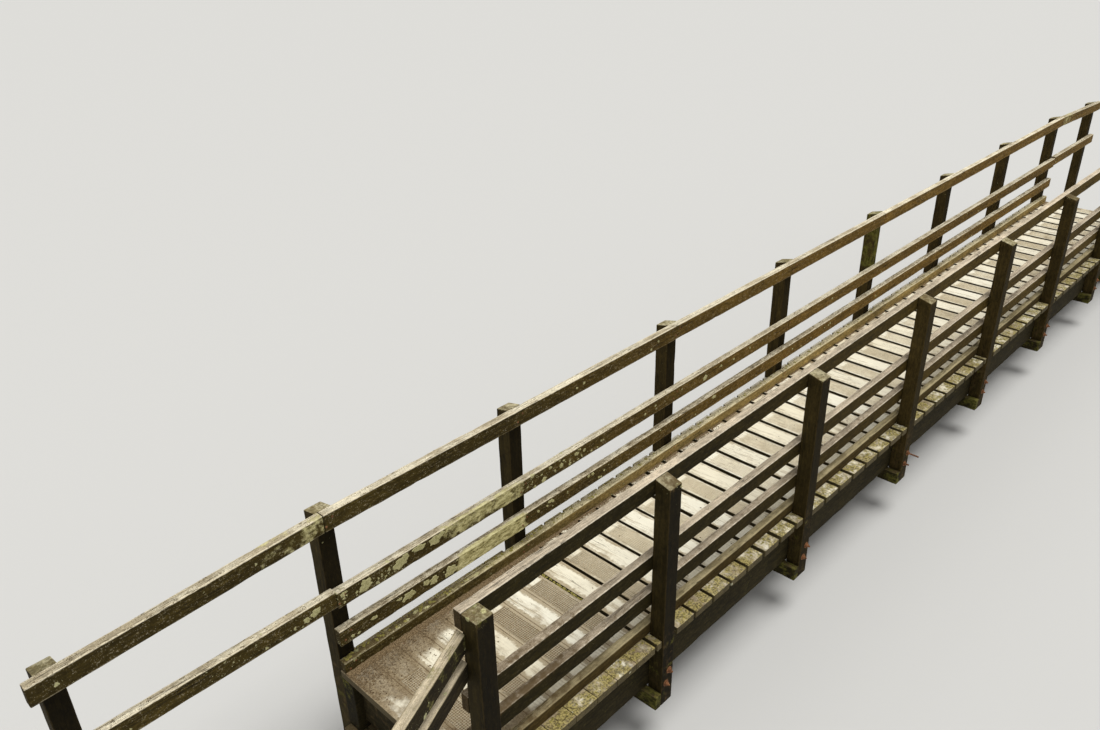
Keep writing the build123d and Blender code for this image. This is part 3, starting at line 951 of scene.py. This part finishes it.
draw = np.random.default_rng(19)
nail_lines = (-0.45, 0.45, -0.435, 0.435)           # each board's two nails in a beam aren't in one line
nail_off_middle, beam_middle = 0.045, 0.44
nail_places = []
for board in deck_boards:
    for y in nail_lines:
        x = board["middle"] + math.copysign(nail_off_middle, abs(y) - beam_middle)
        x = x + draw.uniform(-0.008, 0.008)
        nail_places.append((x, y + draw.uniform(-0.004, 0.004), deck_top - board_drop(board, x, y)))
nail_places = np.array(nail_places)
round_head = np.ones((len(nail_places), 8)), np.arange(8) * np.pi / 4
nails = low_domes(nail_places, np.array([[0.0034, 0.0036, 0.0030]]), np.array([[-0.002, 0.0004, 0.0007]]),
                  round_head)
board_nails = joined_mesh("board_nails", [nails], rust_finish)
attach(board_nails, "root")


# ---------------------------------------------------------------------------------------------
# Approach fences. At each corner two rails carry on to one more post in the bank: flared away from
# the path on the near side, in line on the far side. They are of the same sawn and stained timber.
flare = math.radians(23)
bridge_run = 10.3           # from the first pair of posts to the last
# outer is stain and painted shade on faces that look to the near side
fence_finish = timber_finish("approach_rail_finish", top=(178, 164, 136), face=(62, 51, 30),
                             dark=(24, 18, 10), worn=(176, 162, 130), bleached=(198, 184, 156),
                             worn_and_highlight_share=0.45, grit=0.5, outer=(40, 33, 17), green=(100, 98, 48),
                             pale_green=(146, 138, 84), lichen=(188, 184, 140))


def fence_growth(points):
    """Lichen along the upper side, moss near the bridge's end posts."""
    x, y, z = points.T
    close_by = 1 - soft_step(np.minimum(np.abs(x), np.abs(x - bridge_run)), 0.1, 0.7)
    upper = soft_step(z, 1.5, 1.72)
    return np.stack([0.28 + 0 * x, 0.16 + 0.30 * close_by * upper, 0.12 + 0 * x], -1)


draw = np.random.default_rng(20)
for bank, way in (("left", -1), ("right", 1)):
    flared = (way * math.cos(flare), -math.sin(flare), 0), (way * math.sin(flare), -math.cos(flare), 0)
    for side_name, heading, outwards, finish in (("near", *flared, fence_finish),
                                                 ("far", (way, 0, 0), to_far, far_rail_finish)):
        dress("approach_rails_%s_%s" % (side_name, bank), heading, upwards, draw, finish, "rail_timber",
              fence_growth, wander=0.0015, step=0.035)
        dress("approach_post_%s_%s" % (side_name, bank), upwards, outwards, draw, post_finish,
              "post_timber", post_growth, face_points=(3, 3))


# ---------------------------------------------------------------------------------------------
# Lichen crusts. Pale grey-green lobed crusts sit on the inner faces of the far rails, thickest near
# the left bank. Each is a thin plate with a raised, wavy rim.
lichen_finish = plain_finish("lichen_crust_finish", (164, 158, 106), (200, 194, 142), (222, 214, 172), 90.0,
                             rough=0.95, depth=0.0012)
rail_lichens = [    # place along the bridge, height, half width, half height
    (0.125, 1.277, 0.041, 0.031), (0.350, 1.279, 0.044, 0.036), (0.482, 1.304, 0.042, 0.020),
    (0.594, 1.290, 0.044, 0.026), (0.640, 1.306, 0.024, 0.017), (-0.018, 1.300, 0.018, 0.014),
    (0.100, 1.262, 0.022, 0.018), (0.390, 1.300, 0.024, 0.020), (0.384, 1.032, 0.037, 0.028),
    (0.508, 1.040, 0.026, 0.017), (0.560, 1.026, 0.034, 0.024), (0.690, 1.020, 0.040, 0.032),
    (0.664, 1.004, 0.024, 0.018), (0.319, 1.045, 0.013, 0.010), (0.345, 1.020, 0.015, 0.012),
    (0.143, 1.032, 0.021, 0.012), (0.000, 1.004, 0.011, 0.009), (-0.183, 1.294, 0.030, 0.022),
    (-0.237, 1.279, 0.020, 0.016), (3.144, 1.268, 0.024, 0.020), (3.275, 1.050, 0.021, 0.015),
    (3.724, 1.290, 0.010, 0.008), (3.508, 1.278, 0.011, 0.009), (3.346, 1.286, 0.011, 0.009),
    (1.759, 1.289, 0.019, 0.014), (1.832, 1.282, 0.012, 0.010), (1.873, 1.058, 0.014, 0.009),
    (1.972, 0.998, 0.010, 0.008), (5.000, 1.040, 0.010, 0.008), (2.450, 1.270, 0.010, 0.008),
    (1.381, 1.235, 0.011, 0.008), (1.461, 1.246, 0.022, 0.016), (1.617, 1.272, 0.020, 0.015),
    (1.695, 1.246, 0.013, 0.010), (1.516, 1.304, 0.011, 0.009), (1.899, 1.244, 0.008, 0.006),
    (1.912, 1.056, 0.015, 0.010), (1.507, 1.054, 0.016, 0.011), (2.026, 1.028, 0.010, 0.008),
    (1.533, 1.046, 0.013, 0.010), (1.403, 1.036, 0.011, 0.009), (1.640, 1.298, 0.009, 0.007),
    (1.560, 1.262, 0.009, 0.007), (1.770, 1.764, 0.009, 0.007), (1.835, 1.772, 0.010, 0.008),
    (2.496, 1.748, 0.009, 0.007), (2.570, 1.781, 0.009, 0.007),
]
kerb_lichens = [(0.502, 0.490), (0.357, 0.492), (0.806, 0.497), (0.881, 0.490), (0.295, 0.488),
                (0.433, 0.510)]


def lichen_crust(centre, right, up, reach, draw):
    """A lobed plate on a plane: the radius is its reach times one plus three waves round the plate, and
    the height over the plane rises to a rim and sinks slightly inside it."""
    turn = np.arange(32) * 2 * np.pi / 32
    phase = draw.uniform(0, 2 * np.pi, 3)
    lobes = 1 + sum(swing * np.sin(waves * turn + late)
                    for swing, waves, late in zip((0.15, 0.13, 0.08), (2, 5, 9), phase))
    share = np.array([1.0, 1.0, 0.95, 0.82, 0.55, 0.2])[:, None]
    height = np.array([-0.004, -0.0012, 0.0006, 0.0011, 0.0006, 0.0008])[:, None]
    height = height + 0.0003 * np.sin(7 * turn + 40 * share + phase[1]) * (share < 0.96)
    wide, tall = [(size * share * lobes * wave)[..., None]
                  for size, wave in zip(reach, (np.cos(turn), np.sin(turn)))]
    right, up = np.array(right, float), np.array(up, float)
    points = np.array(centre) + wide * right + tall * up + height[..., None] * np.cross(right, up)
    return ringed_shells(points[None])


draw = np.random.default_rng(21)
kerb_top = rail_boxes["kerb_rail_far"][1][2]
first_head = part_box("parapet_posts_1")[1][2]
crusts = [lichen_crust((x, rail_face, z), to_right, upwards, size, draw) for x, z, *size in rail_lichens]
crusts += [lichen_crust((x, y, kerb_top - 0.0012), to_right, to_far, (0.019, 0.010), draw)
           for x, y in kerb_lichens]
crusts.append(lichen_crust((0.032, -0.585, first_head - 0.0019), to_right, to_far, (0.014, 0.014), draw))
for low, high, count in ((1.24, 1.315, 26), (0.99, 1.065, 22)):
    x = -0.02 + 9.0 * draw.uniform(0, 1, count) ** 1.7
    x = np.where((x > 0.74) & (x < 1.34), x + 0.7, x)
    for place, size in zip(x, draw.uniform(0.004, 0.010, count)):
        centre = (place, rail_face, draw.uniform(low, high))
        crusts.append(lichen_crust(centre, to_right, upwards, (size, 0.8 * size), draw))
lichens = joined_mesh("lichen_crusts", crusts, lichen_finish, smooth=60.0)
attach(lichens, "root")


# ---------------------------------------------------------------------------------------------
# Moss. Small cushions grow on the far kerb's outer half, on the boards' ends beyond both kerbs and
# in the first open joint. Each is a low uneven dome.
moss_finish = plain_finish("moss_finish", (112, 104, 46), (160, 148, 78), (186, 174, 110), 110.0,
                           rough=0.98, depth=0.003)
post_clear = 0.068          # cushions keep this far from the middle of a post
draw = np.random.default_rng(22)
cushions = []       # place in three directions, and radius
for _ in range(150):
    x = -0.05 + bridge_run * draw.uniform(0, 1) ** 1.8
    cushions.append((x, rail_face + draw.uniform(0.018, 0.044), kerb_top - 0.0022,
                     draw.uniform(0.005, 0.014)))
for board in deck_boards:
    for side, stations in ((-1, near_stations), (1, far_stations)):
        for _ in range(6):
            y = side * draw.uniform(shoulder + 0.01, board_half - 0.012)
            x = board["middle"] + draw.uniform(-0.06, 0.06)
            blocked = min(abs(x - post) for post in stations) < post_clear
            if not blocked and not (side > 0 and x > 1.5):
                cushions.append((x, y, deck_top - board_drop(board, x, y) - 0.0012,
                                 draw.uniform(0.003, 0.010)))
first_gap = (deck_boards[7]["high"] + deck_boards[8]["low"]) / 2
for _ in range(26):
    cushions.append((first_gap + draw.uniform(-0.006, 0.006), draw.uniform(-0.07, 0.27), deck_top - 0.006,
                     draw.uniform(0.006, 0.012)))
cushions = np.array(cushions)
turn = np.arange(9) * 2 * np.pi / 9
uneven = 1 + sum(swing * np.sin(waves * turn + draw.uniform(0, 6, (len(cushions), 1)))
                 for swing, waves in ((0.22, 2), (0.14, 3)))
moss = low_domes(cushions, cushions[:, 3:] * (1.0, 0.88, 0.45), cushions[:, 3:] * (0.0, 0.24, 0.36),
                 (uneven, turn))
moss_cushions = joined_mesh("moss_cushions", [moss], moss_finish, smooth=80.0)
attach(moss_cushions, "root")


# ---------------------------------------------------------------------------------------------
# Dirt. Soil has packed the tight joints near the left bank. Grit and crumbs of soil gather at the far
# kerb's foot, where they close the first gaps, and lie thinner and thinner out from it.
dirt_finish = plain_finish("kerb_dirt_finish", (84, 66, 42), (136, 114, 82), (196, 176, 138), 150.0,
                           rough=0.97, depth=0.003)
tight_joint = 0.005         # joints narrower than this are packed with a ridge of soil
closed_up_to = 2.1          # up to here the dirt at the kerb closes the joints as well
draw = np.random.default_rng(23)
banks = []
for board, following in zip(deck_boards[:12], deck_boards[1:13]):
    joint = (board["high"] + following["low"]) / 2
    if following["low"] - board["high"] < tight_joint:
        y = np.linspace(-shoulder + 0.002, shoulder - 0.05, 60)
        z = deck_top - 0.0050 - 0.0016 * slow_waves(y, 1, draw, 0.3, 0.03)[0]
        banks.append(wire_tubes(np.stack([joint + 0 * y, y, z], -1)[None], to_right, 0.0050))


def kerb_bank(board, left, parted, draw):
    """The bank of dirt on one board, from a place on its left: a strip that falls from the kerb to the
    boards by a power of 1.4, as wide and as tall as two slow waves make it, and closed underneath. Where
    the joints are open it is parted from its neighbours, and smaller at both ends."""
    near_bank = 1 - float(soft_step(board["middle"], 0.3, 2.2))
    x = np.linspace(left, board["high"] - 0.003, 13)
    out = np.linspace(0, 1, 7)
    swell = (0.012 + 0.026 * near_bank) * (0.6 + 0.8 * slow_waves(x, 1, draw, 0.12, 0.02)[0])
    tall = (0.004 + 0.008 * near_bank) * (0.5 + 1.0 * slow_waves(x, 1, draw, 0.10, 0.02)[0])
    if parted:
        swell[[0, -1]] *= 0.55
        tall[[0, -1]] *= 0.35
    y = rail_face + 0.001 - swell[:, None] * out
    crumbled = 1 + 0.4 * draw.uniform(-1, 1, y.shape) * (out > 0)
    z = tall[:, None] * (1 - out) ** 1.4 * crumbled + 0.0006 * (out < 1)
    top = deck_top - board_drop(board, np.clip(x, board["low"], board["high"])[:, None], y)
    upper = np.stack([np.broadcast_to(x[:, None], y.shape), y, top + z - 0.0004], -1)
    under = upper[:, [-1, 0]].copy()
    under[..., 2] = top[:, [-1, 0]] - 0.003
    return ringed_shells(np.concatenate([upper, under], 1)[None])


for n, board in enumerate(deck_boards):
    parted = board["middle"] >= closed_up_to
    left = board["low"] + 0.003 if parted or n == 0 else deck_boards[n - 1]["high"] - 0.002
    banks.append(kerb_bank(board, left, parted, draw))

count, scattered = 6000, 320
x = -0.07 + 3.4 * draw.uniform(0, 1, count) ** 2.1
thinning = 0.022 + 0.072 * (1 - soft_step(x, 0.15, 1.5))
y = rail_face - 0.003 - thinning * draw.exponential(1.0, count)
x[-scattered:], y[-scattered:] = draw.uniform(0.2, 4.5, scattered), draw.uniform(-0.44, 0.44, scattered)
lows, highs, cups, treads = np.array([[board[key] for board in deck_boards]
                                      for key in ("low", "high", "cup", "tread")])
nearest = np.clip(np.searchsorted(lows, x) - 1, 0, len(lows) - 1)
size = 0.0020 + 0.0062 * draw.uniform(0, 1, count) ** 3
kept = (x < highs[nearest] - 0.002) & (y > -0.45)
x, y, size, nearest = x[kept], y[kept], size[kept], nearest[kept]
across = (x - (lows + highs)[nearest] / 2) / (highs - lows)[nearest] * 2
z = deck_top - sunk(across, y, cups[nearest], treads[nearest]) + 0.3 * size
corner = np.array([[1, 0, 0], [0, 1, 0], [-1, 0, 0], [0, -1, 0], [0, 0, 1], [0, 0, -1]])
stretch = draw.uniform((0.5, 0.4, 0.3), (1.3, 0.8, 0.6), (len(x), 3))[:, None]
spin = draw.uniform(0, np.pi, (len(x), 1))
long_way, short_way, high_way = np.moveaxis(size[:, None, None] * stretch * corner, -1, 0)
crumb_points = np.stack([x[:, None] + long_way * np.cos(spin) - short_way * np.sin(spin),
                         y[:, None] + long_way * np.sin(spin) + short_way * np.cos(spin),
                         z[:, None] + high_way + 0.25 * long_way * np.sin(7 * spin)], -1)
sides = np.array([[0, 1, 4], [1, 2, 4], [2, 3, 4], [3, 0, 4], [1, 0, 5], [2, 1, 5], [3, 2, 5], [0, 3, 5]])
first = (np.arange(len(x)) * 6)[:, None, None]
loose = {"points": crumb_points.reshape(-1, 3), "faces": [(first + sides).reshape(-1, 3)]}
kerb_dirt = joined_mesh("packed_and_loose_dirt", banks + [loose], dirt_finish, smooth=60.0)
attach(kerb_dirt, "root")


# ---------------------------------------------------------------------------------------------
# Studio. A plain pale floor, a soft high lamp and an even sky; the camera stands above the near left
# corner and looks along the bridge, as the picture does.
studio = bpy.data.meshes.new("studio_floor")
reach = 90.0
studio.from_pydata([(-reach, -reach, 0), (reach, -reach, 0), (reach, reach, 0), (-reach, reach, 0)], [],
                   [(0, 1, 2, 3)])
floor = bpy.data.objects.new("studio_floor", studio)
bpy.context.scene.collection.objects.link(floor)
floor_finish = bpy.data.materials.new("studio_floor_finish")
floor_finish.use_nodes = True
floor_paint = floor_finish.node_tree.nodes["Principled BSDF"]
floor_paint.inputs["Base Color"].default_value = linear((212, 211, 207))
floor_paint.inputs["Roughness"].default_value = 0.95
floor_paint.inputs["Specular IOR Level"].default_value = 0.1
studio.materials.append(floor_finish)

lamp = bpy.data.lights.new("high_lamp", "SUN")
lamp.energy = 2.2
lamp.angle = math.radians(32)
lamp_stand = bpy.data.objects.new("high_lamp", lamp)
lamp_stand.rotation_euler = (math.radians(14), math.radians(9), 0)
bpy.context.scene.collection.objects.link(lamp_stand)

world = bpy.data.worlds.new("even_sky")
world.use_nodes = True
sky = world.node_tree
sky.nodes.clear()
seen = field(sky, "LightPath", output="Is Camera Ray")
sky_light = field(sky, "Background", {"Color": (1.0, 1.0, 1.0, 1.0), "Strength": 0.45})
sky_seen = field(sky, "Background", {"Color": linear((232, 232, 230)), "Strength": 1.0})
node(sky, "OutputWorld", {"Surface": field(sky, "MixShader", (seen, sky_light, sky_seen))})
bpy.context.scene.world = world
bpy.context.scene.view_settings.view_transform = "Standard"

yaw, pitch, roll = 0.7805718, -0.4908738, -0.0269901
forward = np.array([math.cos(pitch) * math.cos(yaw), math.cos(pitch) * math.sin(yaw), math.sin(pitch)])
level_right = np.array([math.sin(yaw), -math.cos(yaw), 0.0])
level_up = np.cross(level_right, forward)
camera = bpy.data.cameras.new("camera")
camera.lens = 30.451
camera.sensor_width = 36.0
camera.sensor_fit = "HORIZONTAL"
camera.clip_end = 400.0
stand = bpy.data.objects.new("camera", camera)
bpy.context.scene.collection.objects.link(stand)
pose = np.eye(4)
pose[:3, 0] = math.cos(roll) * level_right + math.sin(roll) * level_up
pose[:3, 1] = math.cos(roll) * level_up - math.sin(roll) * level_right
pose[:3, 2] = -forward
pose[:3, 3] = (-1.85972, -2.89176, 4.57411)
stand.matrix_world = Matrix(pose.tolist())
bpy.context.scene.camera = stand
